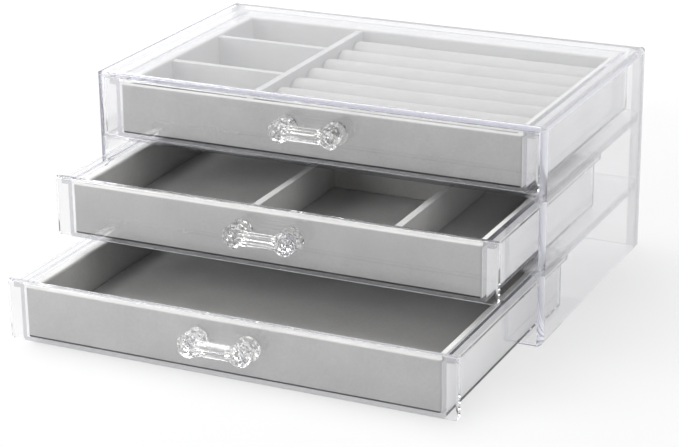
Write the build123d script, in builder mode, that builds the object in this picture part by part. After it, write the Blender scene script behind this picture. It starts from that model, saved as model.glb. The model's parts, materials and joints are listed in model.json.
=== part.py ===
from build123d import *
import os

# Clear box with three drawers, each lined with a velvet covered insert.
# Millimetres. +X to the right, +Y to the back, +Z up.
# The origin is the middle of the case's bottom face. Drawer fronts face -Y.

# Case sheets
case_width = 235.0
case_depth = 145.0
case_height = 107.0
side_wall = 2.8
top_wall = 2.4
back_wall = 2.5
bottom_wall = 1.2
side_edge_radius = 2.4
top_edge_radius = 1.2

# Shelves under the middle and the top drawer
shelf_thickness = 1.5
cove_radius = 6.5
cove_depth = 3.0
fine_cove_radius = 2.4

# Rounding of the case's inner back corners
back_corner_radius = 5.4

# Running clearances of the drawers in their bays
drawer_lift = 0.3
low_head_room = 5.1
top_head_room = 0.5
back_gap = 0.8
front_side_gap = 1.1

# Drawer fronts
front_thickness = 3.0
front_edge_radius = 0.9
front_corner_radius = 2.0

# Clear trays
tray_drop = 1.4
tray_side_gap = 7.1
tray_floor = 1.6
tray_wall = 2.0
tray_corner_radius = 2.0
tray_edge_radius = 1.2
flange_width = 3.6
flange_thickness = 2.2
flange_corner_radius = 3.4

# Handles
handle_rise = 2.0
knob_spacing = 26.0
knob_base_radius = 6.0
knob_base_thickness = 1.8
knob_neck_radius = 4.0
knob_radius = 5.9
knob_length = 7.0
knob_chamfer = 1.9
knob_sides = 10
handle_reach = 12.8
bar_core_radius = 3.0
bar_rib_radius = 0.75
bar_ribs = 8
bar_reach = 8.7
peg_radius = 1.5
peg_clearance = 0.05

# Velvet covered inserts
insert_drop = 1.8
insert_gap = 0.4
insert_wall = 4.5
insert_rim_radius = 1.9
insert_corner_radius = 2.4
pad_thickness = 6.0
pad_gap = 0.2
pad_edge_radius = 0.8
divider_thickness = 3.6
divider_drop = 1.0
divider_rim_radius = 1.2

# Compartments, from the insert's inner left and front faces
top_left_bay_width = 61.8
top_front_bay_depth = 37.7
top_centre_bay_depth = 46.2
middle_left_bay_width = 86.3
middle_centre_bay_width = 68.9
middle_centre_bay_depth = 86.5

# Ring rolls
roll_count = 7
roll_height = 15.4
roll_gap = 0.3
roll_end_radius = 0.9

# How far each drawer is pulled out at rest
top_out = 0.0
middle_out = 48.0
bottom_out = 93.5

# The three fronts share the height that the sheets and the head room leave
low_bay_extra = drawer_lift + low_head_room + shelf_thickness
top_bay_extra = drawer_lift + top_head_room
drawer_room = case_height - bottom_wall - top_wall - 2 * low_bay_extra - top_bay_extra
front_height = drawer_room / 3
bay_pitch = front_height + low_bay_extra
bottom_bay_floor = bottom_wall
middle_bay_floor = bottom_bay_floor + bay_pitch
top_bay_floor = middle_bay_floor + bay_pitch

# Widths and depths that follow from the case
inner_width = case_width - 2 * side_wall
front_y = -case_depth / 2
back_y = case_depth / 2
back_inner_y = back_y - back_wall
front_width = inner_width - 2 * front_side_gap
tray_width = inner_width - 2 * tray_side_gap
tray_front_y = front_y + front_thickness
tray_back_y = back_inner_y - back_gap
insert_width = tray_width - 2 * tray_wall - 2 * insert_gap
insert_front_y = tray_front_y + insert_gap
insert_back_y = tray_back_y - tray_wall - insert_gap
insert_depth = insert_back_y - insert_front_y
bay_left_x = -insert_width / 2 + insert_wall
bay_right_x = insert_width / 2 - insert_wall
bay_front_y = insert_front_y + insert_wall
bay_back_y = insert_back_y - insert_wall

# Heights above a drawer's underside
tray_height = front_height - tray_drop
insert_rim_z = tray_height - insert_drop
insert_height = insert_rim_z - tray_floor
pad_top_z = tray_floor + pad_thickness
divider_rim_z = insert_rim_z - divider_drop
handle_z = front_height / 2 + handle_rise

os.makedirs("parts", exist_ok=True)


def save(part, name):
    """Name a finished piece and write it as a STEP file."""
    part.label = name
    export_step(part, f"parts/{name}.step")


def middle(low, high):
    """The point halfway between two coordinates."""
    return (low + high) / 2


def facing_front(y, z):
    """A plane that looks out of the box's front, with its centre at x = 0."""
    return Plane((0, y, z), x_dir=(1, 0, 0), z_dir=(0, -1, 0))


def slab(x_range, y_range, z_range):
    """A plain sheet or board between three pairs of coordinates."""
    plane = Plane((middle(*x_range), middle(*y_range), z_range[0]))
    with BuildPart() as board:
        with BuildSketch(plane):
            Rectangle(x_range[1] - x_range[0], y_range[1] - y_range[0])
        extrude(amount=z_range[1] - z_range[0])
    return board


def case_side(side):
    """One side sheet, with the edges of its outer face rounded. side is -1 or 1."""
    inner_x = side * inner_width / 2
    outer_x = side * case_width / 2
    x_range = (min(inner_x, outer_x), max(inner_x, outer_x))
    with BuildPart() as sheet:
        add(slab(x_range, (front_y, back_y), (0, case_height)).part)
        outer_face = sheet.faces().sort_by(Axis.X)[-1 if side > 0 else 0]
        fillet(outer_face.edges(), radius=side_edge_radius)
    return sheet.part


def case_top():
    """The top sheet between the sides, with its front and back edges rounded."""
    span = (-inner_width / 2, inner_width / 2)
    with BuildPart() as sheet:
        add(slab(span, (front_y, back_y), (case_height - top_wall, case_height)).part)
        upper_face = sheet.faces().sort_by(Axis.Z)[-1]
        fillet(upper_face.edges().filter_by(Axis.X), radius=top_edge_radius)
    return sheet.part


def coves(under_z, radius, y_range):
    """Concave fillets under a shelf, one along each side, between two places along Y."""
    half = inner_width / 2
    with BuildPart() as strips:
        with BuildSketch(Plane.XZ.offset(-y_range[1])):
            with BuildLine():
                Polyline((half - radius, under_z), (half, under_z), (half, under_z - radius))
                RadiusArc((half, under_z - radius), (half - radius, under_z), -radius)
            make_face()
            mirror(about=Plane.YZ)
        extrude(amount=y_range[1] - y_range[0])
    return strips.part


def shelf(top_z):
    """A thin shelf with rounded back corners, deep coves under its front ends and fine ones behind them."""
    half = inner_width / 2
    under_z = top_z - shelf_thickness
    cove_end_y = front_y + cove_depth
    with BuildPart() as board:
        add(slab((-half, half), (front_y, back_inner_y), (under_z, top_z)).part)
        fillet(board.edges().filter_by(Axis.Z).group_by(Axis.Y)[-1], radius=back_corner_radius)
        add(coves(under_z, cove_radius, (front_y, cove_end_y)))
        add(coves(under_z, fine_cove_radius, (cove_end_y, back_inner_y - back_corner_radius)))
    return board.part


def case_corner(side):
    """A post that rounds off one inner back corner of the case. side is -1 or 1."""
    corner_x = side * inner_width / 2
    tangent_x = corner_x - side * back_corner_radius
    tangent_y = back_inner_y - back_corner_radius
    with BuildPart() as post:
        with BuildSketch(Plane.XY.offset(bottom_wall)):
            with BuildLine():
                Polyline((tangent_x, back_inner_y), (corner_x, back_inner_y), (corner_x, tangent_y))
                RadiusArc((corner_x, tangent_y), (tangent_x, back_inner_y), -side * back_corner_radius)
            make_face()
        extrude(amount=case_height - top_wall - bottom_wall)
    return post.part


def drawer_front(base_z, out):
    """A clear front plate, rounded at its lower corners, with two holes for the handle's pegs."""
    plate_plane = facing_front(tray_front_y - out, base_z + front_height / 2)
    hole_plane = facing_front(front_y - out, base_z + handle_z)
    with BuildPart() as plate:
        with BuildSketch(plate_plane):
            Rectangle(front_width, front_height)
        extrude(amount=front_thickness)
        fillet(plate.edges().filter_by(Axis.Y).group_by(Axis.Z)[0], radius=front_corner_radius)
        fillet(plate.faces().sort_by(Axis.Y)[0].edges(), radius=front_edge_radius)
        with Locations(hole_plane):
            with GridLocations(knob_spacing, 0, 2, 1):
                Hole(peg_radius + peg_clearance, depth=front_thickness)
    return plate.part


def tray(base_z, out):
    """A drawer's clear open tray, rounded below, with a flange along the top of each side."""
    centre_y = middle(tray_front_y, tray_back_y) - out
    depth = tray_back_y - tray_front_y
    flange_z = base_z + tray_height - flange_thickness
    inner_y = middle(tray_front_y, tray_back_y - tray_wall) - out
    with BuildPart() as shell:
        with BuildSketch(Plane((0, centre_y, base_z))):
            Rectangle(tray_width, depth)
        extrude(amount=tray_height)
        fillet(shell.edges().filter_by(Axis.Z).group_by(Axis.Y)[-1], radius=tray_corner_radius)
        lower_edges = shell.faces().sort_by(Axis.Z)[0].edges().sort_by(Axis.Y)
        fillet(lower_edges[1:], radius=tray_edge_radius)
        with BuildSketch(Plane((0, centre_y, flange_z))):
            plan = Rectangle(tray_width + 2 * flange_width, depth)
            fillet(plan.vertices().group_by(Axis.Y)[-1], radius=flange_corner_radius)
        extrude(amount=flange_thickness)
        with BuildSketch(Plane((0, inner_y, base_z + tray_floor))):
            Rectangle(tray_width - 2 * tray_wall, depth - tray_wall)
        extrude(amount=tray_height, mode=Mode.SUBTRACT)
    return shell.part


def handle(base_z, out):
    """A moulded handle: two faceted knobs on round feet, joined by a ribbed bar."""
    face_y = front_y - out
    foot_plane = facing_front(face_y, base_z + handle_z)
    knob_start = handle_reach - knob_length
    bar_plane = Plane((0, face_y - bar_reach, base_z + handle_z), z_dir=(1, 0, 0))
    with BuildPart() as knobs:
        with BuildSketch(foot_plane.offset(knob_start)):
            with GridLocations(knob_spacing, 0, 2, 1):
                RegularPolygon(knob_radius, knob_sides)
        extrude(amount=knob_length)
        rims = knobs.edges().filter_by(Axis.Y, reverse=True)
        chamfer(rims, length=knob_chamfer)
        with BuildSketch(foot_plane):
            with GridLocations(knob_spacing, 0, 2, 1):
                Circle(knob_neck_radius)
        extrude(amount=knob_start + knob_chamfer)
        with BuildSketch(foot_plane):
            with GridLocations(knob_spacing, 0, 2, 1):
                Circle(knob_base_radius)
        extrude(amount=knob_base_thickness)
        with BuildSketch(foot_plane):
            with GridLocations(knob_spacing, 0, 2, 1):
                Circle(peg_radius)
        extrude(amount=-front_thickness)
        with BuildSketch(bar_plane):
            Circle(bar_core_radius)
            with PolarLocations(bar_core_radius, bar_ribs):
                Circle(bar_rib_radius)
        extrude(amount=knob_spacing / 2, both=True)
    return knobs.part


def insert_walls(base_z, out):
    """The upright velvet covered walls of an insert, in one ring with a soft rim."""
    centre_y = middle(insert_front_y, insert_back_y) - out
    with BuildPart() as ring:
        with BuildSketch(Plane((0, centre_y, base_z + tray_floor))):
            RectangleRounded(insert_width, insert_depth, insert_corner_radius)
            Rectangle(insert_width - 2 * insert_wall, insert_depth - 2 * insert_wall, mode=Mode.SUBTRACT)
        extrude(amount=insert_height)
        fillet(ring.faces().sort_by(Axis.Z)[-1].edges(), radius=insert_rim_radius)
    return ring.part


def insert_pad(base_z, out):
    """The padded velvet floor inside an insert's walls."""
    x_range = (bay_left_x + pad_gap, bay_right_x - pad_gap)
    y_range = (bay_front_y + pad_gap - out, bay_back_y - pad_gap - out)
    z_range = (base_z + tray_floor, base_z + pad_top_z)
    with BuildPart() as pad:
        add(slab(x_range, y_range, z_range).part)
        fillet(pad.faces().sort_by(Axis.Z)[-1].edges(), radius=pad_edge_radius)
    return pad.part


def divider(x_range, y_range, base_z):
    """A velvet covered divider that stands on the pad, with a rounded top."""
    long_axis = Axis.X if x_range[1] - x_range[0] > y_range[1] - y_range[0] else Axis.Y
    with BuildPart() as board:
        add(slab(x_range, y_range, (base_z + pad_top_z, base_z + divider_rim_z)).part)
        fillet(board.faces().sort_by(Axis.Z)[-1].edges().filter_by(long_axis), radius=divider_rim_radius)
    return board.part


def ring_roll(x_range, y_range, base_z):
    """One soft roll of the ring holder: upright sides under a round crown."""
    width = y_range[1] - y_range[0]
    crown_z = base_z + pad_top_z + roll_height
    shoulder_z = crown_z - width / 2
    foot_z = base_z + pad_top_z
    with BuildPart() as roll:
        with BuildSketch(Plane.YZ.offset(x_range[0])):
            with BuildLine():
                Polyline(
                    (y_range[0], shoulder_z),
                    (y_range[0], foot_z),
                    (y_range[1], foot_z),
                    (y_range[1], shoulder_z),
                )
                ThreePointArc(
                    (y_range[1], shoulder_z),
                    (middle(*y_range), crown_z),
                    (y_range[0], shoulder_z),
                )
            make_face()
        extrude(amount=x_range[1] - x_range[0])
        end_arcs = roll.edges().filter_by(GeomType.CIRCLE)
        fillet(end_arcs, radius=roll_end_radius)
    return roll.part


# The case
save(case_side(-1), "case_side_left")
save(case_side(1), "case_side_right")
save(case_corner(-1), "case_corner_left")
save(case_corner(1), "case_corner_right")
save(case_top(), "case_top")
sheet_span = (-inner_width / 2, inner_width / 2)
save(slab(sheet_span, (back_inner_y, back_y), (0, case_height - top_wall)).part, "case_back")
save(slab(sheet_span, (front_y, back_inner_y), (0, bottom_wall)).part, "case_bottom")
save(shelf(middle_bay_floor), "shelf_lower")
save(shelf(top_bay_floor), "shelf_upper")

# The pieces that all three drawers have
drawers = {
    "top": (top_bay_floor + drawer_lift, top_out),
    "middle": (middle_bay_floor + drawer_lift, middle_out),
    "bottom": (bottom_bay_floor + drawer_lift, bottom_out),
}
for name, (base_z, out) in drawers.items():
    save(drawer_front(base_z, out), f"drawer_front_{name}")
    save(tray(base_z, out), f"tray_{name}")
    save(handle(base_z, out), f"handle_{name}")
    save(insert_walls(base_z, out), f"insert_walls_{name}")
    save(insert_pad(base_z, out), f"insert_pad_{name}")

# Dividers of the top insert: one from front to back, and two across its left bay
top_z = drawers["top"][0]
left_x = bay_left_x + top_left_bay_width
long_x = (left_x, left_x + divider_thickness)
long_y = (bay_front_y + pad_gap - top_out, bay_back_y - pad_gap - top_out)
save(divider(long_x, long_y, top_z), "divider_top_long")
cross_x = (bay_left_x + pad_gap, left_x - pad_gap)
front_cross_y = bay_front_y + top_front_bay_depth - top_out
back_cross_y = front_cross_y + divider_thickness + top_centre_bay_depth
for name, y in {"front": front_cross_y, "back": back_cross_y}.items():
    save(divider(cross_x, (y, y + divider_thickness), top_z), f"divider_top_{name}")

# Ring rolls, from the front to the back of the top insert's right bay
roll_x = (long_x[1] + roll_gap, bay_right_x - roll_gap)
roll_pitch = (bay_back_y - bay_front_y) / roll_count
for number in range(roll_count):
    start_y = bay_front_y + number * roll_pitch - top_out
    roll_y = (start_y + roll_gap / 2, start_y + roll_pitch - roll_gap / 2)
    save(ring_roll(roll_x, roll_y, top_z), f"ring_roll_{number + 1}")

# Dividers of the middle insert: two from front to back, and one across between them
middle_z = drawers["middle"][0]
run_y = (bay_front_y + pad_gap - middle_out, bay_back_y - pad_gap - middle_out)
left_run = (bay_left_x + middle_left_bay_width, bay_left_x + middle_left_bay_width + divider_thickness)
right_start = left_run[1] + middle_centre_bay_width
right_run = (right_start, right_start + divider_thickness)
save(divider(left_run, run_y, middle_z), "divider_middle_left")
save(divider(right_run, run_y, middle_z), "divider_middle_right")
link_x = (left_run[1] + pad_gap, right_run[0] - pad_gap)
link_y = bay_front_y + middle_centre_bay_depth - middle_out
save(divider(link_x, (link_y, link_y + divider_thickness), middle_z), "divider_middle_cross")
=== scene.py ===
import json
import math

import bmesh
import bpy
from bpy.props import FloatProperty, FloatVectorProperty, IntProperty, PointerProperty
from mathutils import Matrix, Vector, noise


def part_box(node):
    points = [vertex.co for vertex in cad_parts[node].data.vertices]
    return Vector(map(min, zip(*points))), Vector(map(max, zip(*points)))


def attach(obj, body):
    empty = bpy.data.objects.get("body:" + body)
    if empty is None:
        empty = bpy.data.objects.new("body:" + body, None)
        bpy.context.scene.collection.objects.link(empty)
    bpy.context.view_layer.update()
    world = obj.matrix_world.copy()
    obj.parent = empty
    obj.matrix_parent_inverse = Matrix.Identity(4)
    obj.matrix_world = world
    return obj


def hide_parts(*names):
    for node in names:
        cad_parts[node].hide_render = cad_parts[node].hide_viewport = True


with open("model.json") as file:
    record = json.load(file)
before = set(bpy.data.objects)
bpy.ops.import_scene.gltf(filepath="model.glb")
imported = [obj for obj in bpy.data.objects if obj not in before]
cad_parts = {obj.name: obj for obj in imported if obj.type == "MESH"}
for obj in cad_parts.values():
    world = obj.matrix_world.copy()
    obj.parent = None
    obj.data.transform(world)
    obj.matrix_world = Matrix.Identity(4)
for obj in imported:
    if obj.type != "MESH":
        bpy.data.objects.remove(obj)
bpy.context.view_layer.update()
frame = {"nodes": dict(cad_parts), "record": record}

bl_info = {
    "name": "Accessory Organizer Box",
    "version": (1, 0, 0),
    "blender": (4, 5, 0),
    "location": "View3D > Sidebar > Organizer",
    "description": "Dresses a clear three drawer box with its velvet inserts, ring rolls and moulded handles",
    "category": "Object",
}

MM = 0.001
NODES = frame["nodes"]
BODIES = frame["record"]["behaviour"]["bodies"]
DRAWERS = ("top", "middle", "bottom")

# Shape of the moulded handles
KNOB_LENGTH = 7.0 * MM
KNOB_RINGS = 6
KNOB_OUTLINE = ((0.0, 0.62), (0.17, 0.9), (0.36, 1.0), (0.6, 0.94), (0.82, 0.7), (1.0, 0.26))
NECK_RADIUS = 4.0 * MM
NECK_SINK = 0.3
FOOT_RADIUS = 6.0 * MM
FOOT_THICKNESS = 1.8 * MM
PEG_RADIUS = 1.5 * MM
BAR_REACH = 8.7 * MM
FOOT_SIDES, NECK_SIDES, PEG_SIDES, BAR_SIDES = 48, 32, 24, 160
KNOB_CREASE = 8.5
CUT_PAST_X = 7.2 * MM

# Shape of the inserts' walls and dividers
WALL_CORNER = 1.3 * MM
LEAST_CORNER = 0.35 * MM
WALL_STEP = 3.0 * MM
WALL_LEVELS = 8
ARC_STEPS = 6
# Height of the band of painted shade at the foot of an insert's front, and of the walls' lowest ring.
PAINTED_SHADE_HEIGHT = 0.8 * MM
OUTER_REACH = 0.3 * MM
OUTER_FACING = 0.8
DIVIDER_RIM = 1.4 * MM
DIVIDER_STEPS = 24
DIVIDER_CREASE = 40.0

# Shape of the pads and the rolls, and what of them is held while they swell
PAD_GAP = 0.2 * MM
PAD_GRID = (80, 50, 2)
PAD_EDGE = 0.8 * MM
PAD_EDGE_DROP = 0.6
PAD_SKIN = 2.0 * MM
PAD_BORDER = 1.0 * MM
FOOTPRINT_MARGIN = 1.2 * MM
ROLL_GRID = (44, 8, 7)
ROLL_INSET = Vector((0.2, 0.35, 0.0)) * MM
ROLL_HEADROOM = Vector((0.0, 0.0, 0.4 * MM))
ROLL_FOOT = 0.5 * MM

# Cloth simulation of the pads and the rolls
PRESSURE = 4.0
LAST_FRAME = 20

# Light paths through the clear plastic
LONG_WAY = 9.0
BOUNCES = 26

# Floor of the stage
FLOOR_REACH = 4.0
FLOOR_DROP = 0.4 * MM


def body_of_node(node):
    """The CAD body that holds a node."""
    return next(body for body, members in BODIES.items() if node in members)


class PlasticSettings(bpy.types.PropertyGroup):
    """Finish of the clear sheets, trays and handles."""

    tint: FloatVectorProperty(
        name="Tint", description="Colour that each surface of the clear plastic lets through",
        subtype="COLOR", size=3, default=(0.93, 0.93, 0.932), min=0.0, max=1.0)
    shadow_tint: FloatVectorProperty(
        name="Shadow Tint", description="Share of a lamp's light that each surface lets through",
        subtype="COLOR", size=3, default=(0.965, 0.965, 0.97), min=0.0, max=1.0)
    depth_tint: FloatVectorProperty(
        name="Depth Tint", description="Colour that long ways inside the plastic take on, as at its edges",
        subtype="COLOR", size=3, default=(0.86, 0.861, 0.887), min=0.0, max=1.0)
    depth_density: FloatProperty(
        name="Depth Density", description="How fast the plastic takes on its depth tint, per metre",
        default=40.0, min=0.0, max=500.0)
    shelf_fade: FloatProperty(
        name="Shelf Fade", description="Share of a view that passes the thin shelves unchanged",
        default=0.5, min=0.0, max=1.0)
    cut: FloatProperty(
        name="Cut", description="How far the knobs' small cut facets lean out of the surface",
        default=0.55, min=0.0, max=2.0)
    cut_size: FloatProperty(
        name="Cut Size", description="Size of the knobs' small cut facets", default=1.7 * MM,
        min=0.2 * MM, max=10.0 * MM, subtype="DISTANCE", unit="LENGTH", precision=5)
    index: FloatProperty(
        name="Index of Refraction", description="How strongly the plastic bends light",
        default=1.49, min=1.0, max=2.0)
    smudge: FloatProperty(
        name="Smudges", description="Roughness of the faint smudges on the polished faces",
        default=0.02, min=0.0, max=0.5)
    ripple: FloatProperty(
        name="Ripple", description="Depth of the slow ripple that moulding leaves on the faces",
        default=0.02 * MM, min=0.0, max=1.0 * MM, subtype="DISTANCE", unit="LENGTH", precision=6)


class VelvetSettings(bpy.types.PropertyGroup):
    """Finish and softness of the velvet covered pieces."""

    insert_colour: FloatVectorProperty(
        name="Insert Colour", description="Colour of the velvet on walls, dividers and pads",
        subtype="COLOR", size=3, default=(0.485, 0.483, 0.474), min=0.0, max=1.0)
    roll_colour: FloatVectorProperty(
        name="Roll Colour", description="Colour of the velvet on the ring rolls",
        subtype="COLOR", size=3, default=(0.425, 0.42, 0.405), min=0.0, max=1.0)
    board_colour: FloatVectorProperty(
        name="Board Colour", description="Colour of the bare board on the inserts' outer sides",
        subtype="COLOR", size=3, default=(0.96, 0.96, 0.955), min=0.0, max=1.0)
    # Painted shade: near-black colour for the band along the foot of an insert's front, standing in for the
    # shade where it stands on the tray floor.
    painted_shade_colour: FloatVectorProperty(
        name="Painted Shade Colour", description="Colour of the thin dark line along the foot of an insert's front",
        subtype="COLOR", size=3, default=(0.05, 0.05, 0.055), min=0.0, max=1.0)
    # Painted light: the walls' velvet is painted paler where it faces up, standing in for the light from above
    # on the rims.
    painted_top_light: FloatProperty(
        name="Painted Top Light", description="How much paler the velvet is painted where it faces up, as painted light from above on the walls' rims",
        default=1.35, min=1.0, max=2.0)
    pile: FloatProperty(
        name="Pile", description="Height of the velvet's short pile", default=0.25 * MM,
        min=0.0, max=2.0 * MM, subtype="DISTANCE", unit="LENGTH", precision=6)
    rim_radius: FloatProperty(
        name="Rim Radius", description="Rounding of the insert walls' inner top edges", default=1.5 * MM,
        min=0.2 * MM, max=2.2 * MM, subtype="DISTANCE", unit="LENGTH", precision=6)
    outer_rim_radius: FloatProperty(
        name="Outer Rim Radius", description="Rounding of the insert walls' outer top edges", default=0.8 * MM,
        min=0.2 * MM, max=2.2 * MM, subtype="DISTANCE", unit="LENGTH", precision=6)
    pad_swell: FloatProperty(
        name="Pad Swell", description="Most that the stuffing pushes a pad's top up", default=0.7 * MM,
        min=0.0, max=3.0 * MM, subtype="DISTANCE", unit="LENGTH", precision=6)
    roll_swell: FloatProperty(
        name="Roll Swell", description="Most that the foam pushes a ring roll's cover out", default=0.6 * MM,
        min=0.0, max=2.0 * MM, subtype="DISTANCE", unit="LENGTH", precision=6)


class HandleSettings(bpy.types.PropertyGroup):
    """Sizes of the moulded handles."""

    spacing: FloatProperty(
        name="Knob Spacing", description="Distance between the middles of the two knobs", default=26.0 * MM,
        min=10.0 * MM, max=80.0 * MM, subtype="DISTANCE", unit="LENGTH", precision=5)
    knob_radius: FloatProperty(
        name="Knob Radius", description="Radius of the faceted knobs at their widest", default=5.9 * MM,
        min=3.0 * MM, max=15.0 * MM, subtype="DISTANCE", unit="LENGTH", precision=5)
    knob_sides: IntProperty(
        name="Facets", description="Number of facets round each knob", default=11, min=5, max=24)
    bar_radius: FloatProperty(
        name="Bar Radius", description="Radius of the bar without its ribs", default=3.0 * MM,
        min=1.0 * MM, max=8.0 * MM, subtype="DISTANCE", unit="LENGTH", precision=5)
    ribs: IntProperty(
        name="Ribs", description="Number of ribs round the bar", default=8, min=3, max=24)
    rib_height: FloatProperty(
        name="Rib Height", description="How far the ribs stand out of the bar", default=0.75 * MM,
        min=0.1 * MM, max=2.0 * MM, subtype="DISTANCE", unit="LENGTH", precision=5)


class StageSettings(bpy.types.PropertyGroup):
    """Floor, lamps and camera."""

    camera_place: FloatVectorProperty(
        name="Camera", description="Where the camera stands", subtype="TRANSLATION", unit="LENGTH", size=3,
        default=(0.435635, -0.957566, 0.407793))
    camera_turn: FloatVectorProperty(
        name="Camera Turn", description="Turn to the left, tilt below the horizon, and roll",
        subtype="EULER", unit="ROTATION", size=3,
        default=(math.radians(25.472), math.radians(20.247), math.radians(-0.672)))
    focal_length: FloatProperty(
        name="Focal Length", description="Focal length on a 36 mm wide sensor, in millimetres",
        default=116.16, min=10.0, max=300.0)
    floor_seen: FloatVectorProperty(
        name="Floor Seen", description="Floor colour that the camera sees, with the glow on top of it",
        subtype="COLOR", size=3, default=(0.215, 0.215, 0.217), min=0.0, max=1.0)
    floor_colour: FloatVectorProperty(
        name="Floor Colour", description="Floor colour that light bounces off", subtype="COLOR", size=3,
        default=(0.84, 0.84, 0.845), min=0.0, max=1.0)
    sky: FloatProperty(
        name="Sky", description="Strength of the even light from all round", default=0.415, min=0.0, max=3.0)
    dusk: FloatVectorProperty(
        name="Dusk", description="What the plastic's reflections and bent views see high up",
        subtype="COLOR", size=3, default=(0.245, 0.24, 0.29), min=0.0, max=1.0)
    sweep: FloatVectorProperty(
        name="Sweep", description="What reflections see in the white sweep behind the box",
        subtype="COLOR", size=3, default=(1.14, 1.145, 1.165), min=0.0, max=3.0)
    key: FloatProperty(
        name="Key Lamp", description="Power of the large lamp above the box's left", subtype="POWER",
        default=21.5, min=0.0, max=500.0)
    fill: FloatProperty(
        name="Fill Lamp", description="Power of the lamp at the front left", subtype="POWER",
        default=7.0, min=0.0, max=500.0)
    side_fill: FloatProperty(
        name="Side Lamp", description="Power of the lamp at the right", subtype="POWER",
        default=3.8, min=0.0, max=500.0)
    floor_glow: FloatProperty(
        name="Floor Glow", description="Light that the floor gives off to the camera only, to lift its shadows",
        default=0.68, min=0.0, max=1.0)


class Nodes:
    """Adds nodes to a tree, and joins them as they are made."""

    def __init__(self, tree):
        self.tree = tree

    def add(self, kind, sockets=None, **settings):
        made = self.tree.nodes.new(kind)
        for name, value in settings.items():
            setattr(made, name, value)
        for name, value in (sockets or {}).items():
            self.set(made.inputs[name], value)
        return made

    def set(self, socket, value):
        if isinstance(value, bpy.types.Node):
            value = value.outputs[0]
        if isinstance(value, bpy.types.NodeSocket):
            self.tree.links.new(value, socket)
        else:
            socket.default_value = value

    def math(self, operation, first, second=0.0):
        return self.add("ShaderNodeMath", {0: first, 1: second}, operation=operation)

    def mapped(self, value, low, high, to_low=0.0, to_high=1.0):
        return self.add("ShaderNodeMapRange", {
            "Value": value, "From Min": low, "From Max": high, "To Min": to_low, "To Max": to_high})

    def noise(self, coordinates, scale, detail=2.0, roughness=0.5):
        return self.add("ShaderNodeTexNoise", {
            "Vector": coordinates, "Scale": scale, "Detail": detail, "Roughness": roughness})


def new_material(name):
    """An empty node material, with its tree and output."""
    material = bpy.data.materials.new(name)
    material.use_nodes = True
    material.node_tree.nodes.clear()
    nodes = Nodes(material.node_tree)
    return material, nodes, nodes.add("ShaderNodeOutputMaterial")


def colour4(colour, factor=1.0):
    return tuple(min(1.0, c * factor) for c in colour) + (1.0,)


def cut_facets(nodes, settings, where, past_x):
    """A normal that leans another way in each small cell, as cut crystal does, where |x| is past past_x."""
    parts = nodes.add("ShaderNodeSeparateXYZ", {0: where})
    beyond = nodes.math("GREATER_THAN", nodes.math("ABSOLUTE", parts.outputs["X"]), past_x)
    cells = nodes.add("ShaderNodeTexVoronoi", {"Vector": where, "Scale": 1.0 / settings.cut_size})
    middle = (0.5, 0.5, 0.5)
    lean = nodes.add("ShaderNodeVectorMath", {0: cells.outputs["Color"], 1: middle}, operation="SUBTRACT")
    amount = nodes.math("MULTIPLY", beyond, settings.cut)
    scaled = nodes.add("ShaderNodeVectorMath", {0: lean, "Scale": amount}, operation="SCALE")
    plain = nodes.add("ShaderNodeNewGeometry").outputs["Normal"]
    summed = nodes.add("ShaderNodeVectorMath", {0: plain, 1: scaled}, operation="ADD")
    return nodes.add("ShaderNodeVectorMath", {0: summed}, operation="NORMALIZE")


def clear_plastic(name, settings, smudge, tint, depth_tint, fade=0.0, cut_past_x=None):
    """Clear polished plastic. Lamps shine through it without refraction, so that what is inside is lit.

    fade is the share of each view that passes it unchanged. Small facets are cut where |x| is past cut_past_x.
    """
    material, nodes, output = new_material(name)
    where = nodes.add("ShaderNodeTexCoord").outputs["Object"]
    cloud = nodes.noise(where, 38.0, 4.0, 0.6)
    stretched = nodes.add("ShaderNodeMapping", {"Vector": where, "Scale": (9.0, 420.0, 420.0)})
    wipes = nodes.noise(stretched, 1.0, 3.0, 0.5)
    marks = nodes.math("MULTIPLY", nodes.mapped(cloud, 0.45, 0.75), nodes.mapped(wipes, 0.5, 0.7))
    roughness = nodes.mapped(marks, 0.0, 1.0, 0.004, smudge)
    if cut_past_x is None:
        surface = nodes.add("ShaderNodeBump", {
            "Strength": 0.35, "Distance": settings.ripple, "Height": nodes.noise(where, 55.0, 1.0)})
    else:
        surface = cut_facets(nodes, settings, where, cut_past_x)
    plastic = nodes.add("ShaderNodeBsdfPrincipled", {
        "Base Color": colour4(tint), "Roughness": roughness, "IOR": settings.index,
        "Transmission Weight": 1.0, "Normal": surface})
    through = nodes.add("ShaderNodeBsdfTransparent", {"Color": colour4(settings.shadow_tint)})
    path = nodes.add("ShaderNodeLightPath")
    for_light = nodes.math("MAXIMUM", path.outputs["Is Shadow Ray"], path.outputs["Is Diffuse Ray"])
    long_way = nodes.math("GREATER_THAN", path.outputs["Ray Depth"], LONG_WAY)
    share = nodes.math("MAXIMUM", nodes.math("MAXIMUM", for_light, long_way), fade)
    mixed = nodes.add("ShaderNodeMixShader", {0: share, 1: plastic, 2: through})
    nodes.set(output.inputs["Surface"], mixed)
    nodes.set(output.inputs["Volume"], nodes.add("ShaderNodeVolumeAbsorption", {
        "Color": colour4(depth_tint), "Density": settings.depth_density}))
    return material


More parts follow.
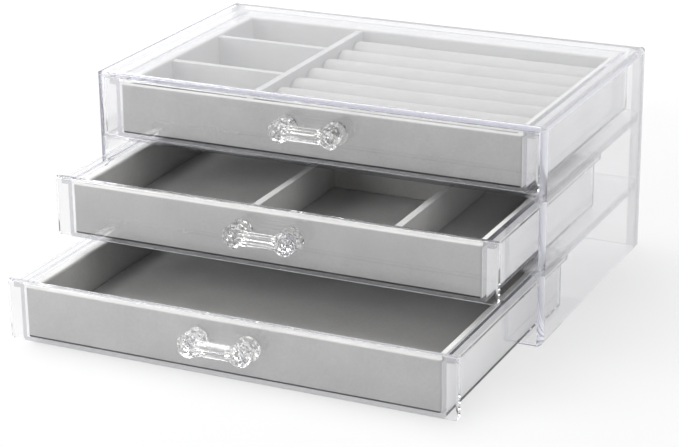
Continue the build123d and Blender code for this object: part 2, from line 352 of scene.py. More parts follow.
def velvet(name, colour, settings, painted_top_light=1.0):
    """Short velvet: brushed patches, a fine pile and a pale sheen. The top-light factor paints its upward faces
    paler, as painted light from above.
    """
    material, nodes, output = new_material(name)
    where = nodes.add("ShaderNodeTexCoord").outputs["Object"]
    brushed = nodes.noise(where, 45.0, 3.0, 0.55)
    pile = nodes.noise(where, 2300.0, 2.0, 0.6)
    tuft = nodes.noise(where, 700.0, 2.0, 0.6)
    patch = nodes.add("ShaderNodeMix", data_type="RGBA")
    nodes.set(patch.inputs[0], nodes.mapped(brushed, 0.3, 0.7))
    nodes.set(patch.inputs[6], colour4(colour, 0.94))
    nodes.set(patch.inputs[7], colour4(colour, 1.05))
    fine = nodes.add("ShaderNodeMix", data_type="RGBA", blend_type="MULTIPLY")
    nodes.set(fine.inputs[0], 0.6)
    nodes.set(fine.inputs[6], patch.outputs[2])
    nodes.set(fine.inputs[7], nodes.mapped(tuft, 0.3, 0.7, 0.86, 1.0))
    # Painted light: faces whose normal points up are painted paler by the top-light factor, standing in for
    # light from above.
    facing = nodes.add("ShaderNodeSeparateXYZ", {0: nodes.add("ShaderNodeTexCoord").outputs["Normal"]})
    lift = nodes.mapped(facing.outputs["Z"], 0.6, 0.95, 1.0, painted_top_light)
    painted_light_colour = nodes.add("ShaderNodeVectorMath", {0: fine.outputs[2], "Scale": lift}, operation="SCALE")
    height = nodes.math("ADD", pile, nodes.math("MULTIPLY", tuft, 0.8))
    bump = nodes.add("ShaderNodeBump", {"Strength": 0.5, "Distance": settings.pile, "Height": height})
    cloth = nodes.add("ShaderNodeBsdfPrincipled", {
        "Base Color": painted_light_colour, "Roughness": nodes.mapped(pile, 0.3, 0.7, 0.82, 0.98),
        "Specular IOR Level": 0.15, "Sheen Weight": 0.35, "Sheen Roughness": 0.4, "Normal": bump})
    nodes.set(output.inputs["Surface"], cloth)
    return material


def matt_banded(name, colour):
    """Matt bare board, with faint upright bands where it was wrapped. Made near-black, it is also the band of
    painted shade at an insert's foot.
    """
    material, nodes, output = new_material(name)
    where = nodes.add("ShaderNodeTexCoord").outputs["Object"]
    along = nodes.add("ShaderNodeMapping", {"Vector": where, "Scale": (0.0, 26.0, 1.5)})
    bands = nodes.mapped(nodes.noise(along, 1.0, 1.0), 0.35, 0.65)
    grain = nodes.noise(where, 900.0, 2.0)
    tone = nodes.add("ShaderNodeMix", data_type="RGBA")
    nodes.set(tone.inputs[0], bands)
    nodes.set(tone.inputs[6], colour4(colour, 0.93))
    nodes.set(tone.inputs[7], colour4(colour))
    bump = nodes.add("ShaderNodeBump", {"Strength": 0.2, "Distance": 0.05 * MM, "Height": grain})
    board = nodes.add("ShaderNodeBsdfPrincipled", {
        "Base Color": tone.outputs[2], "Roughness": nodes.mapped(grain, 0.3, 0.7, 0.6, 0.75),
        "Specular IOR Level": 0.3, "Normal": bump})
    nodes.set(output.inputs["Surface"], board)
    return material


def set_material(obj, material):
    obj.data.materials.clear()
    obj.data.materials.append(material)


def new_object(name, points, faces, material, smooth=True):
    """A mesh object at the origin, from points in metres in the part's frame."""
    mesh = bpy.data.meshes.new(name)
    mesh.from_pydata([tuple(p) for p in points], [], faces)
    mesh.validate()
    if smooth:
        mesh.shade_smooth()
    obj = bpy.data.objects.new(name, mesh)
    bpy.context.scene.collection.objects.link(obj)
    obj.data.materials.append(material)
    return obj


def outward(obj):
    """Turns a closed mesh's faces outwards."""
    work = bmesh.new()
    work.from_mesh(obj.data)
    bmesh.ops.recalc_face_normals(work, faces=work.faces)
    work.to_mesh(obj.data)
    work.free()


def stand_for(obj, node):
    """Puts a piece in the place of a CAD node."""
    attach(obj, body_of_node(node))
    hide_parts(node)
    return obj


def plain_mesh(obj, name):
    """The evaluated mesh of an object with modifiers, as a new plain object. The first object is removed."""
    bpy.context.view_layer.update()
    graph = bpy.context.evaluated_depsgraph_get()
    mesh = bpy.data.meshes.new_from_object(obj.evaluated_get(graph), depsgraph=graph)
    mesh.name = name
    bpy.data.objects.remove(obj)
    made = bpy.data.objects.new(name, mesh)
    bpy.context.scene.collection.objects.link(made)
    return made


def set_tree_inputs(modifier, values):
    """Sets a Geometry Nodes modifier's inputs, given by name, through their sockets' identifiers."""
    for item in modifier.node_group.interface.items_tree:
        if item.item_type == "SOCKET" and item.in_out == "INPUT" and item.name in values:
            modifier[item.identifier] = values[item.name]


def new_tree(name, inputs):
    """A Geometry Nodes tree with named inputs. inputs maps a name to its socket type."""
    tree = bpy.data.node_groups.new(name, "GeometryNodeTree")
    tree.interface.new_socket("Geometry", in_out="OUTPUT", socket_type="NodeSocketGeometry")
    for label, kind in inputs.items():
        tree.interface.new_socket(label, in_out="INPUT", socket_type=kind)
    nodes = Nodes(tree)
    return tree, nodes, nodes.add("NodeGroupInput").outputs, nodes.add("NodeGroupOutput")


def handle_tree():
    """Two faceted knobs on feet with pegs, and a ribbed bar. Built along +Z, then turned to the front."""
    length = "NodeSocketFloat"
    tree, nodes, given, output = new_tree("Moulded Handle", {
        "Spacing": length, "Knob Radius": length, "Knob Sides": "NodeSocketInt", "Knob Start": length,
        "Knob Length": length, "Neck Radius": length, "Foot Radius": length, "Foot Thickness": length,
        "Peg Radius": length, "Peg Length": length, "Bar Radius": length, "Rib Height": length,
        "Ribs": "NodeSocketInt", "Bar Reach": length, "Place": "NodeSocketVector",
        "Material": "NodeSocketMaterial"})
    drum = nodes.add("GeometryNodeMeshCylinder", {
        "Vertices": given["Knob Sides"], "Side Segments": KNOB_RINGS, "Fill Segments": 1,
        "Radius": 1.0, "Depth": 1.0})
    place = nodes.add("GeometryNodeInputPosition")
    parts = nodes.add("ShaderNodeSeparateXYZ", {0: place})
    share = nodes.math("ADD", parts.outputs["Z"], 0.5)
    outline = nodes.add("ShaderNodeFloatCurve", {"Value": share})
    curve = outline.mapping.curves[0]
    for x, y in KNOB_OUTLINE[1:-1]:
        curve.points.new(x, y)
    for point, place_on_curve in zip(curve.points, KNOB_OUTLINE):
        point.location = place_on_curve
        point.handle_type = "VECTOR"
    outline.mapping.update()
    wide = nodes.math("MULTIPLY", outline, given["Knob Radius"])
    ring = nodes.math("ROUND", nodes.math("MULTIPLY", share, float(KNOB_RINGS)))
    turn = nodes.math("MULTIPLY", ring, nodes.math("DIVIDE", math.pi, given["Knob Sides"]))
    flat = nodes.add("ShaderNodeCombineXYZ", {
        "X": nodes.math("MULTIPLY", parts.outputs["X"], wide),
        "Y": nodes.math("MULTIPLY", parts.outputs["Y"], wide),
        "Z": nodes.math("ADD", given["Knob Start"], nodes.math("MULTIPLY", share, given["Knob Length"]))})
    twisted = nodes.add("ShaderNodeVectorRotate", {"Vector": flat, "Angle": turn}, rotation_type="Z_AXIS")
    shaped = nodes.add("GeometryNodeSetPosition", {"Geometry": drum, "Position": twisted})
    knob = nodes.add("GeometryNodeTriangulate", {0: shaped})

    def disc(radius, low, high, vertices):
        depth = nodes.math("SUBTRACT", high, low)
        made = nodes.add("GeometryNodeMeshCylinder", {"Vertices": vertices, "Radius": radius, "Depth": depth})
        middle = nodes.math("MULTIPLY", nodes.math("ADD", low, high), 0.5)
        return nodes.add("GeometryNodeTransform", {
            "Geometry": made, "Translation": nodes.add("ShaderNodeCombineXYZ", {"Z": middle})})

    foot = disc(given["Foot Radius"], 0.0, given["Foot Thickness"], FOOT_SIDES)
    neck_top = nodes.math("ADD", given["Knob Start"], nodes.math("MULTIPLY", given["Knob Length"], NECK_SINK))
    neck = disc(given["Neck Radius"], nodes.math("MULTIPLY", given["Foot Thickness"], 0.5), neck_top,
                NECK_SIDES)
    peg = disc(given["Peg Radius"], nodes.math("MULTIPLY", given["Peg Length"], -1.0),
               nodes.math("MULTIPLY", given["Foot Thickness"], 0.5), PEG_SIDES)
    half = nodes.math("MULTIPLY", given["Spacing"], 0.5)
    other = nodes.math("MULTIPLY", half, -1.0)
    shapes = []
    for side in (half, other):
        shift = nodes.add("ShaderNodeCombineXYZ", {"X": side})
        for shape in (foot, neck, knob, peg):
            shapes.append(nodes.add("GeometryNodeTransform", {"Geometry": shape, "Translation": shift}))

    circle = nodes.add("GeometryNodeCurvePrimitiveCircle", {"Resolution": BAR_SIDES, "Radius": 1.0})
    spot = nodes.add("ShaderNodeSeparateXYZ", {0: nodes.add("GeometryNodeInputPosition")})
    angle = nodes.math("ARCTAN2", spot.outputs["Y"], spot.outputs["X"])
    wave = nodes.math("ABSOLUTE", nodes.math("COSINE", nodes.math(
        "MULTIPLY", angle, nodes.math("MULTIPLY", given["Ribs"], 0.5))))
    reach = nodes.math("ADD", given["Bar Radius"], nodes.math("MULTIPLY", wave, given["Rib Height"]))
    pushed = nodes.add("ShaderNodeVectorMath", {
        0: nodes.add("GeometryNodeInputPosition"), "Scale": reach}, operation="SCALE")
    ribbed = nodes.add("GeometryNodeSetPosition", {"Geometry": circle, "Position": pushed})
    line = nodes.add("GeometryNodeCurvePrimitiveLine", {
        "Start": nodes.add("ShaderNodeCombineXYZ", {"X": other, "Z": given["Bar Reach"]}),
        "End": nodes.add("ShaderNodeCombineXYZ", {"X": half, "Z": given["Bar Reach"]})})
    bar = nodes.add("GeometryNodeCurveToMesh", {"Curve": line, "Profile Curve": ribbed, "Fill Caps": True})
    shapes.append(bar)

    joined = nodes.add("GeometryNodeMeshBoolean", operation="UNION", solver="EXACT")
    for shape in shapes:
        tree.links.new(shape.outputs[0], joined.inputs[1])
    placed = nodes.add("GeometryNodeTransform", {
        "Geometry": joined, "Translation": given["Place"], "Rotation": (math.pi / 2, 0.0, 0.0)})
    real = nodes.add("GeometryNodeRealizeInstances", {"Geometry": placed})
    finished = nodes.add("GeometryNodeSetMaterial", {"Geometry": real, "Material": given["Material"]})
    nodes.set(output.inputs[0], finished)
    return tree


def divider_tree():
    """A board with a rounded top, from one point to another."""
    length = "NodeSocketFloat"
    tree, nodes, given, output = new_tree("Velvet Divider", {
        "Start": "NodeSocketVector", "End": "NodeSocketVector", "Thickness": length, "Height": length,
        "Rim Radius": length, "Material": "NodeSocketMaterial"})
    section = nodes.add("GeometryNodeCurvePrimitiveQuadrilateral", {
        "Width": given["Thickness"], "Height": given["Height"]})
    spot = nodes.add("ShaderNodeSeparateXYZ", {0: nodes.add("GeometryNodeInputPosition")})
    at_top = nodes.add("FunctionNodeCompare", {0: spot.outputs["Y"], 1: 0.0}, operation="GREATER_THAN")
    radius = nodes.math("MULTIPLY", at_top, given["Rim Radius"])
    rounded = nodes.add("GeometryNodeFilletCurve", {
        "Curve": section, "Radius": radius, "Count": ARC_STEPS}, mode="POLY")
    line = nodes.add("GeometryNodeCurvePrimitiveLine", {"Start": given["Start"], "End": given["End"]})
    steps = nodes.add("GeometryNodeResampleCurve", {"Curve": line, "Count": DIVIDER_STEPS})
    board = nodes.add("GeometryNodeCurveToMesh", {"Curve": steps, "Profile Curve": rounded, "Fill Caps": True})
    real = nodes.add("GeometryNodeRealizeInstances", {"Geometry": board})
    finished = nodes.add("GeometryNodeSetMaterial", {"Geometry": real, "Material": given["Material"]})
    nodes.set(output.inputs[0], finished)
    return tree


def from_tree(name, tree, values):
    """Runs a Geometry Nodes tree with these inputs, and returns its result as a plain mesh object."""
    seed = bpy.data.objects.new(name + "_tree", bpy.data.meshes.new(name + "_tree"))
    bpy.context.scene.collection.objects.link(seed)
    modifier = seed.modifiers.new("Shape", "NODES")
    modifier.node_group = tree
    set_tree_inputs(modifier, values)
    made = plain_mesh(seed, name)
    if not made.data.polygons:
        raise RuntimeError(f"{name} came out empty")
    return made


def smooth_by_angle(obj, degrees):
    obj.data.shade_smooth()
    obj.data.set_sharp_from_angle(angle=math.radians(degrees))


def rounded_loop(low, high, z, inset, radius, step):
    """Points round an upright rectangle's plan, at one height, with its corners rounded."""
    radius = max(radius - inset, LEAST_CORNER)
    x0, y0, x1, y1 = low.x + inset, low.y + inset, high.x - inset, high.y - inset
    corners = ((x1 - radius, y0 + radius, -90.0), (x1 - radius, y1 - radius, 0.0),
               (x0 + radius, y1 - radius, 90.0), (x0 + radius, y0 + radius, 180.0))
    counts = (round((high.y - low.y) / step), round((high.x - low.x) / step)) * 2
    points = []
    for number, (cx, cy, start) in enumerate(corners):
        for part in range(ARC_STEPS + 1):
            angle = math.radians(start + 90.0 * part / ARC_STEPS)
            points.append(Vector((cx + radius * math.cos(angle), cy + radius * math.sin(angle), z)))
        next_x, next_y, next_start = corners[(number + 1) % 4]
        ahead = math.radians(next_start)
        end = Vector((next_x + radius * math.cos(ahead), next_y + radius * math.sin(ahead), z))
        begin = points[-1].copy()
        for part in range(1, counts[number]):
            points.append(begin.lerp(end, part / counts[number]))
    return points


def wall_side(low_z, high_z, rim):
    """Half of a wall's section, from the foot to the middle of its rim, as distance inwards and height."""
    foot, shoulder = low_z + PAINTED_SHADE_HEIGHT, high_z - rim
    half = [(0.0, low_z)]
    for level in range(WALL_LEVELS + 1):
        half.append((0.0, foot + (shoulder - foot) * level / WALL_LEVELS))
    for part in range(1, ARC_STEPS + 1):
        angle = math.radians(90.0 * part / ARC_STEPS)
        half.append((rim * (1 - math.cos(angle)), shoulder + rim * math.sin(angle)))
    return half


def wall_ring(name, node, wall, rims, corner, material):
    """The velvet covered walls of an insert: one closed ring with a soft, slightly uneven rim.

    Material 1 is bare board on the outer left, right and back sides, and 2 a near-black band of painted shade
    along the front's foot.
    """
    low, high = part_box(node)
    outer_rim, inner_rim = rims
    section = wall_side(low.z, high.z, outer_rim)
    section += [(wall - d, z) for d, z in reversed(wall_side(low.z, high.z, inner_rim))]
    loops = [rounded_loop(low, high, z, d, corner, WALL_STEP) for d, z in section]
    count = len(loops[0])
    points, faces = [p for loop in loops for p in loop], []
    for level in range(len(loops)):
        above = (level + 1) % len(loops)
        for at in range(count):
            ahead = (at + 1) % count
            faces.append((level * count + at, level * count + ahead, above * count + ahead, above * count + at))
    obj = new_object(name, points, faces, material)
    outward(obj)
    ruffle(obj, depth=0.12 * MM, size=14.0 * MM, above_z=low.z + 0.5 * MM, seed=3)
    for face in obj.data.polygons:
        spot, normal = face.center, face.normal
        outer = min(spot.x - low.x, high.x - spot.x, high.y - spot.y) < OUTER_REACH
        if outer and spot.z < high.z - outer_rim and max(abs(normal.x), normal.y) > OUTER_FACING:
            face.material_index = 1
        # Painted shade: the lowest band of the front's outer face gets the near-black material, standing in for
        # the shade where the insert stands on the tray floor.
        if normal.y < -OUTER_FACING and spot.y < low.y + OUTER_REACH and spot.z < low.z + PAINTED_SHADE_HEIGHT:
            face.material_index = 2
    return obj


def ruffle(obj, depth, size, above_z, seed):
    """Moves the points above a height along their normals by a slow noise, as glued cloth lies."""
    shift = Vector((17.3 * seed, 5.1 * seed, 9.7 * seed))
    normals = [v.normal.copy() for v in obj.data.vertices]
    for vertex, normal in zip(obj.data.vertices, normals):
        if vertex.co.z > above_z:
            vertex.co += normal * depth * (noise.noise(vertex.co / size + shift) - 0.25)
    obj.data.update()


def simulate(obj, cap, free):
    """Swells a closed cover with Cloth pressure, by cap at most. free(point) is 1 where a point may move."""
    start = [v.co.copy() for v in obj.data.vertices]
    group = obj.vertex_groups.new(name="held")
    for index, point in enumerate(start):
        group.add([index], 1.0 - free(point), "REPLACE")
    cloth = obj.modifiers.new("Swell", "CLOTH")
    rules = cloth.settings
    rules.quality = 6
    rules.mass = 0.3
    rules.tension_stiffness = rules.compression_stiffness = 12.0
    rules.shear_stiffness = 6.0
    rules.bending_stiffness = 0.6
    rules.use_pressure = True
    rules.uniform_pressure_force = PRESSURE
    rules.effector_weights.gravity = 0.0
    rules.vertex_group_mass = group.name
    cloth.collision_settings.use_collision = False
    cloth.point_cache.frame_start, cloth.point_cache.frame_end = 1, LAST_FRAME
    scene = bpy.context.scene
    for number in range(1, LAST_FRAME + 1):
        scene.frame_set(number)
    graph = bpy.context.evaluated_depsgraph_get()
    swollen = obj.evaluated_get(graph).to_mesh()
    moves = [v.co - p for v, p in zip(swollen.vertices, start)]
    obj.evaluated_get(graph).to_mesh_clear()
    obj.modifiers.remove(cloth)
    obj.vertex_groups.remove(group)
    scene.frame_set(1)
    longest = max(m.length for m in moves)
    print(f"{obj.name}: the cover moved {longest / MM:.2f} mm at most")
    for vertex, point, move in zip(obj.data.vertices, start, moves):
        limit = min(1.0, cap / move.length) if move.length > 0 else 1.0
        vertex.co = point + move * limit
    obj.data.update()


def grid_box(low, high, counts, bow):
    """Points and faces of a closed box, with each face a grid. bow(point, share) moves each point."""
    index, points, faces = {}, [], []

    def corner(i, j, k):
        if (i, j, k) not in index:
            index[i, j, k] = len(points)
            share = Vector((i / counts[0], j / counts[1], k / counts[2]))
            spot = Vector(low[a] + (high[a] - low[a]) * share[a] for a in range(3))
            points.append(bow(spot, share))
        return index[i, j, k]

    n = counts
    for i in range(n[0]):
        for j in range(n[1]):
            faces.append((corner(i, j, n[2]), corner(i + 1, j, n[2]),
                          corner(i + 1, j + 1, n[2]), corner(i, j + 1, n[2])))
            faces.append((corner(i, j, 0), corner(i, j + 1, 0), corner(i + 1, j + 1, 0), corner(i + 1, j, 0)))
    for i in range(n[0]):
        for k in range(n[2]):
            faces.append((corner(i, 0, k), corner(i + 1, 0, k), corner(i + 1, 0, k + 1), corner(i, 0, k + 1)))
            faces.append((corner(i, n[1], k), corner(i, n[1], k + 1),
                          corner(i + 1, n[1], k + 1), corner(i + 1, n[1], k)))
    for j in range(n[1]):
        for k in range(n[2]):
            faces.append((corner(0, j, k), corner(0, j, k + 1), corner(0, j + 1, k + 1), corner(0, j + 1, k)))
            faces.append((corner(n[0], j, k), corner(n[0], j + 1, k),
                          corner(n[0], j + 1, k + 1), corner(n[0], j, k + 1)))
    return points, faces


def subdivided(obj, name):
    modifier = obj.modifiers.new("Smooth", "SUBSURF")
    modifier.levels = modifier.render_levels = 1
    made = plain_mesh(obj, name)
    made.data.shade_smooth()
    return made


def footprints(drawer, margin):
    """Plan boxes of the dividers and rolls that stand on a drawer's pad."""
    found = []
    for node in BODIES[f"drawer_{drawer}"]:
        if node.startswith(("divider", "ring_roll")):
            low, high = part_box(node)
            found.append((low.x - margin, low.y - margin, high.x + margin, high.y + margin))
    return found


def swollen_pad(drawer, settings, material):
    """The padded floor of an insert, free to swell between the walls and whatever stands on it."""
    node = f"insert_pad_{drawer}"
    low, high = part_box(node)
    held = footprints(drawer, FOOTPRINT_MARGIN)

    def bow(point, share):
        near = min(point.x - low.x, high.x - point.x, point.y - low.y, high.y - point.y)
        if share.z > 0.99 and near < PAD_EDGE:
            point.z -= PAD_EDGE * PAD_EDGE_DROP
        return point

    def free(point):
        if point.z < high.z - PAD_SKIN:
            return 0.0
        if any(x0 <= point.x <= x1 and y0 <= point.y <= y1 for x0, y0, x1, y1 in held):
            return 0.0
        near = min(point.x - low.x, high.x - point.x, point.y - low.y, high.y - point.y)
        return 1.0 if near > PAD_BORDER else 0.0

    points, faces = grid_box(low, high, PAD_GRID, bow)
    cover = new_object(node + "_cover", points, faces, material)
    simulate(cover, settings.pad_swell, free)
    made = subdivided(cover, f"velvet_pad_{drawer}")
    ruffle(made, depth=0.1 * MM, size=9.0 * MM, above_z=high.z - 1.0 * MM, seed=5)
    stand_for(made, node)


def swollen_roll(number, settings, material):
    """One ring roll: a foam core in velvet, with a round crown and soft ends."""
    node = f"ring_roll_{number}"
    low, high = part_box(node)
    low, high = low + ROLL_INSET, high - ROLL_INSET - ROLL_HEADROOM
    centre, half = (low.y + high.y) / 2, (high.y - low.y) / 2
    shoulder = high.z - half

    def bow(point, share):
        side = 2 * share.y - 1
        around = share.y * math.pi
        crown = shoulder + half * math.sin(around)
        if share.z > 0.999:
            point.y = centre - half * math.cos(around)
            point.z = crown
        elif abs(side) > 0.999:
            point.z = low.z + (shoulder - low.z) * share.z
        elif share.z > 0:
            point.y = centre + side * half * (1 - 0.1 * share.z)
            point.z = low.z + (crown - low.z) * share.z
        return point

    def free(point):
        return 0.0 if point.z < low.z + ROLL_FOOT else 1.0

    points, faces = grid_box(low, high, ROLL_GRID, bow)
    cover = new_object(node + "_cover", points, faces, material)
    simulate(cover, settings.roll_swell, free)
    made = subdivided(cover, f"velvet_roll_{number}")
    ruffle(made, depth=0.22 * MM, size=11.0 * MM, above_z=low.z + 1.0 * MM, seed=7 + number)
    stand_for(made, node)


class ORGANIZER_OT_case(bpy.types.Operator):
    """Finish the case's clear sheets and shelves"""

    bl_idname = "organizer.case"
    bl_label = "Clear Case"

    def execute(self, context):
        settings = context.scene.organizer_plastic
        look = (settings, settings.smudge, settings.tint, settings.depth_tint)
        material = clear_plastic("Clear case plastic", *look)
        thin = clear_plastic("Clear shelf plastic", *look, fade=settings.shelf_fade)
        for node in BODIES["case"]:
            set_material(NODES[node], thin if node.startswith("shelf") else material)
        return {"FINISHED"}


class ORGANIZER_OT_drawers(bpy.types.Operator):
    """Finish the drawers' clear fronts and trays"""

    bl_idname = "organizer.drawers"
    bl_label = "Clear Drawers"

    def execute(self, context):
        settings = context.scene.organizer_plastic
        material = clear_plastic("Clear drawer plastic", settings, settings.smudge * 0.8, settings.tint,
                                 settings.depth_tint)
        for drawer in DRAWERS:
            set_material(NODES[f"drawer_front_{drawer}"], material)
            set_material(NODES[f"tray_{drawer}"], material)
        return {"FINISHED"}


class ORGANIZER_OT_handles(bpy.types.Operator):
    """Build the three moulded handles"""

    bl_idname = "organizer.handles"
    bl_label = "Moulded Handles"

    def execute(self, context):
        sizes, settings = context.scene.organizer_handle, context.scene.organizer_plastic
        material = clear_plastic("Clear handle plastic", settings, settings.smudge * 0.4, (1.0, 1.0, 0.985),
                                 (0.97, 0.97, 0.965), cut_past_x=CUT_PAST_X)
        tree = handle_tree()
        for drawer in DRAWERS:
            node = f"handle_{drawer}"
            low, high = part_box(node)
            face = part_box(f"drawer_front_{drawer}")[0].y
            reach = face - low.y
            made = from_tree(f"moulded_handle_{drawer}", tree, {
                "Spacing": sizes.spacing, "Knob Radius": sizes.knob_radius, "Knob Sides": sizes.knob_sides,
                "Knob Start": reach - KNOB_LENGTH, "Knob Length": KNOB_LENGTH, "Neck Radius": NECK_RADIUS,
                "Foot Radius": FOOT_RADIUS, "Foot Thickness": FOOT_THICKNESS, "Peg Radius": PEG_RADIUS,
                "Peg Length": high.y - face, "Bar Radius": sizes.bar_radius, "Rib Height": sizes.rib_height,
                "Ribs": sizes.ribs, "Bar Reach": BAR_REACH,
                "Place": ((low.x + high.x) / 2, face, (low.z + high.z) / 2), "Material": material})
            smooth_by_angle(made, KNOB_CREASE)
            stand_for(made, node)
        return {"FINISHED"}


class ORGANIZER_OT_insert_walls(bpy.types.Operator):
    """Build the velvet covered walls of the three inserts"""

    bl_idname = "organizer.insert_walls"
    bl_label = "Insert Walls"

    def execute(self, context):
        settings = context.scene.organizer_velvet
        # The walls' velvet carries painted light: its upward faces, the rims, are painted paler.
        material = velvet("Grey velvet, walls", settings.insert_colour, settings, settings.painted_top_light)
        board = matt_banded("Pale board", settings.board_colour)
        # Painted shade: the near-black band along the foot of each insert's front.
        painted_shade_material = matt_banded("Painted foot shade", settings.painted_shade_colour)
        pad_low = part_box("insert_pad_top")[0]
        wall = pad_low.x - PAD_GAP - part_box("insert_walls_top")[0].x
        rims = (settings.outer_rim_radius, settings.rim_radius)
        for drawer in DRAWERS:
            node = f"insert_walls_{drawer}"
            made = wall_ring(f"velvet_walls_{drawer}", node, wall, rims, WALL_CORNER, material)
            made.data.materials.append(board)
            made.data.materials.append(painted_shade_material)
            stand_for(made, node)
        return {"FINISHED"}


class ORGANIZER_OT_dividers(bpy.types.Operator):
    """Build the velvet covered dividers of the top and the middle insert"""

    bl_idname = "organizer.dividers"
    bl_label = "Dividers"

    def execute(self, context):
        settings = context.scene.organizer_velvet
        material = velvet("Grey velvet, dividers", settings.insert_colour, settings)
        tree = divider_tree()
        for node in sorted(n for n in NODES if n.startswith("divider")):
            low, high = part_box(node)
            middle = (low + high) / 2
            along_x = high.x - low.x > high.y - low.y
            start = (low.x, middle.y, middle.z) if along_x else (middle.x, low.y, middle.z)
            end = (high.x, middle.y, middle.z) if along_x else (middle.x, high.y, middle.z)
            made = from_tree(f"velvet_{node}", tree, {
                "Start": start, "End": end, "Height": high.z - low.z, "Rim Radius": DIVIDER_RIM,
                "Thickness": (high.y - low.y) if along_x else (high.x - low.x), "Material": material})
            outward(made)
            smooth_by_angle(made, DIVIDER_CREASE)
            ruffle(made, depth=0.08 * MM, size=12.0 * MM, above_z=low.z + 1.0 * MM, seed=2)
            stand_for(made, node)
        return {"FINISHED"}


class ORGANIZER_OT_pads(bpy.types.Operator):
    """Build the padded floors of the three inserts"""

    bl_idname = "organizer.pads"
    bl_label = "Padded Floors"

    def execute(self, context):
        settings = context.scene.organizer_velvet
        material = velvet("Grey velvet, pads", settings.insert_colour, settings)
        for drawer in DRAWERS:
            swollen_pad(drawer, settings, material)
        return {"FINISHED"}


class ORGANIZER_OT_rolls(bpy.types.Operator):
    """Build the seven ring rolls of the top insert"""

    bl_idname = "organizer.rolls"
    bl_label = "Ring Rolls"

    def execute(self, context):
        settings = context.scene.organizer_velvet
        material = velvet("Pale grey velvet, rolls", settings.roll_colour, settings)
        for number in range(1, 8):
            swollen_roll(number, settings, material)
        return {"FINISHED"}


class ORGANIZER_OT_stage(bpy.types.Operator):
    """Set up the floor, the light and the camera"""

    bl_idname = "organizer.stage"
    bl_label = "Stage"

    def execute(self, context):
        settings = context.scene.organizer_stage
        scene = context.scene
        turns = ((-1, -1), (1, -1), (1, 1), (-1, 1))
        corners = [(x * FLOOR_REACH, y * FLOOR_REACH, -FLOOR_DROP) for x, y in turns]
        floor = new_object("studio_floor", corners, [(0, 1, 2, 3)], floor_material(settings), smooth=False)
        white_world(scene, settings)
        lamp("Key softbox", (-0.55, 0.25, 1.25), (0.0, 0.0, 0.05), 1.1, settings.key)
        lamp("Front fill", (-0.75, -0.8, 0.45), (0.0, -0.05, 0.05), 0.6, settings.fill)
        lamp("Side fill", (1.2, -0.2, 0.55), (0.0, -0.05, 0.05), 0.8, settings.side_fill)
        camera_from(settings, scene)
        scene.view_settings.view_transform = "Standard"
        scene.cycles.max_bounces = BOUNCES
        scene.cycles.transmission_bounces = BOUNCES
        scene.cycles.glossy_bounces = 10
        scene.cycles.transparent_max_bounces = 40
        return {"FINISHED"}


def seen_rays(nodes):
    """1 for camera, reflected and refracted rays, and 0 for the rays that carry light."""
    path = nodes.add("ShaderNodeLightPath")
    return nodes.math("MAXIMUM", path.outputs["Is Camera Ray"], nodes.math(
        "MAXIMUM", path.outputs["Is Glossy Ray"], path.outputs["Is Transmission Ray"]))


def floor_material(settings):
    """A matt floor that is seen as white where nothing shades it, and glows more further away."""
    material, nodes, output = new_material("Pale studio floor")
    where = nodes.add("ShaderNodeTexCoord").outputs["Object"]
    grain = nodes.mapped(nodes.noise(where, 160.0, 3.0), 0.2, 0.8, 0.99, 1.0)
    tone = nodes.add("ShaderNodeMix", data_type="RGBA", blend_type="MULTIPLY")
    nodes.set(tone.inputs[0], 1.0)
    base = nodes.add("ShaderNodeMix", data_type="RGBA")
    nodes.set(base.inputs[0], nodes.add("ShaderNodeLightPath").outputs["Is Diffuse Ray"])
    nodes.set(base.inputs[6], colour4(settings.floor_seen))
    nodes.set(base.inputs[7], colour4(settings.floor_colour))
    nodes.set(tone.inputs[6], base.outputs[2])
    nodes.set(tone.inputs[7], grain)
    matt = nodes.add("ShaderNodeBsdfDiffuse", {"Color": tone.outputs[2]})
    away = nodes.add("ShaderNodeVectorMath", {0: where}, operation="LENGTH").outputs["Value"]
    level = nodes.mapped(away, 0.3, 0.85, settings.floor_glow, 1.0)
    glow = nodes.add("ShaderNodeEmission", {
        "Color": (1.0, 1.0, 1.0, 1.0), "Strength": nodes.math("MULTIPLY", seen_rays(nodes), level)})
    nodes.set(output.inputs["Surface"], nodes.add("ShaderNodeAddShader", {0: matt, 1: glow}))
    return material


def white_world(scene, settings):
    """Even soft light. Clear plastic sees a white sweep behind the box and a dusky room around it."""
    world = bpy.data.worlds.new("Studio")
    world.use_nodes = True
    world.node_tree.nodes.clear()
    nodes = Nodes(world.node_tree)
    path = nodes.add("ShaderNodeLightPath")
    bent = nodes.math("MAXIMUM", path.outputs["Is Glossy Ray"], path.outputs["Is Transmission Ray"])
    heading = nodes.add("ShaderNodeSeparateXYZ", {0: nodes.add("ShaderNodeTexCoord").outputs["Generated"]})
    horizon = nodes.mapped(heading.outputs["Y"], 0.1, 0.5, 0.03, 0.5)
    above = nodes.math("SUBTRACT", heading.outputs["Z"], horizon)
    sweep = nodes.add("ShaderNodeMix", data_type="RGBA")
    nodes.set(sweep.inputs[0], nodes.math("MULTIPLY", path.outputs["Is Glossy Ray"], nodes.mapped(
        heading.outputs["Z"], 0.1, 0.25)))
    nodes.set(sweep.inputs[6], (1.0, 1.0, 1.0, 1.0))
    nodes.set(sweep.inputs[7], (*settings.sweep, 1.0))
    tone = nodes.add("ShaderNodeMix", data_type="RGBA")
    nodes.set(tone.inputs[0], nodes.math("MULTIPLY", nodes.mapped(above, 0.0, 0.3), bent))
    nodes.set(tone.inputs[6], sweep.outputs[2])
    nodes.set(tone.inputs[7], colour4(settings.dusk))
    strength = nodes.add("ShaderNodeMapRange", {
        "Value": seen_rays(nodes), "To Min": settings.sky, "To Max": 1.0})
    sky = nodes.add("ShaderNodeBackground", {"Color": tone.outputs[2], "Strength": strength})
    nodes.set(nodes.add("ShaderNodeOutputWorld").inputs["Surface"], sky)
    scene.world = world


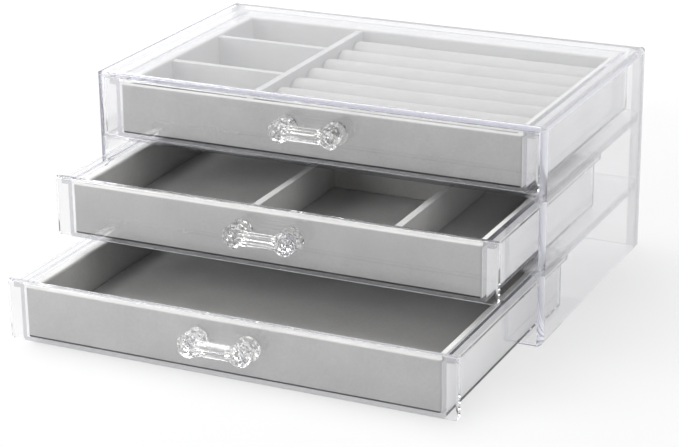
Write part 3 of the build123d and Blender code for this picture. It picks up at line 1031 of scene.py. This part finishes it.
def lamp(name, place, target, size, power):
    """A square area lamp at one place, turned towards another."""
    data = bpy.data.lights.new(name, "AREA")
    data.shape = "SQUARE"
    data.size = size
    data.energy = power
    obj = bpy.data.objects.new(name, data)
    bpy.context.scene.collection.objects.link(obj)
    obj.location = place
    obj.rotation_euler = (Vector(target) - Vector(place)).to_track_quat("-Z", "Y").to_euler()


def camera_from(settings, scene):
    """The camera at the photograph's viewing angle."""
    turn, tilt, roll = settings.camera_turn
    ahead = Vector((-math.sin(turn) * math.cos(tilt), math.cos(turn) * math.cos(tilt), -math.sin(tilt)))
    right = Vector((math.cos(turn), math.sin(turn), 0.0))
    up = right.cross(ahead)
    across = math.cos(roll) * right + math.sin(roll) * up
    above = -math.sin(roll) * right + math.cos(roll) * up
    data = bpy.data.cameras.new("Camera")
    data.sensor_width = 36.0
    data.lens = settings.focal_length
    data.clip_start, data.clip_end = 0.05, 30.0
    camera = bpy.data.objects.new("Camera", data)
    scene.collection.objects.link(camera)
    camera.matrix_world = Matrix((
        (across.x, above.x, -ahead.x, settings.camera_place[0]),
        (across.y, above.y, -ahead.y, settings.camera_place[1]),
        (across.z, above.z, -ahead.z, settings.camera_place[2]),
        (0.0, 0.0, 0.0, 1.0)))
    scene.camera = camera


class ORGANIZER_PT_panel(bpy.types.Panel):
    """Lists the operators that build the organizer box and its stage"""

    bl_label = "Organizer Box"
    bl_idname = "ORGANIZER_PT_panel"
    bl_space_type = "VIEW_3D"
    bl_region_type = "UI"
    bl_category = "Organizer"

    def draw(self, context):
        for operator in OPERATORS:
            self.layout.operator(operator.bl_idname)


SETTINGS = {"organizer_plastic": PlasticSettings, "organizer_velvet": VelvetSettings,
            "organizer_handle": HandleSettings, "organizer_stage": StageSettings}
OPERATORS = (ORGANIZER_OT_case, ORGANIZER_OT_drawers, ORGANIZER_OT_handles, ORGANIZER_OT_insert_walls,
             ORGANIZER_OT_dividers, ORGANIZER_OT_pads, ORGANIZER_OT_rolls, ORGANIZER_OT_stage)


def register():
    for group in SETTINGS.values():
        bpy.utils.register_class(group)
    for operator in OPERATORS:
        bpy.utils.register_class(operator)
    bpy.utils.register_class(ORGANIZER_PT_panel)
    for name, group in SETTINGS.items():
        setattr(bpy.types.Scene, name, PointerProperty(type=group))


def unregister():
    for name in SETTINGS:
        delattr(bpy.types.Scene, name)
    bpy.utils.unregister_class(ORGANIZER_PT_panel)
    for kind in (*reversed(OPERATORS), *reversed(SETTINGS.values())):
        bpy.utils.unregister_class(kind)


def main():
    register()
    for operator in OPERATORS:
        section, name = operator.bl_idname.split(".")
        getattr(getattr(bpy.ops, section), name)()


if __name__ == "__main__":
    main()
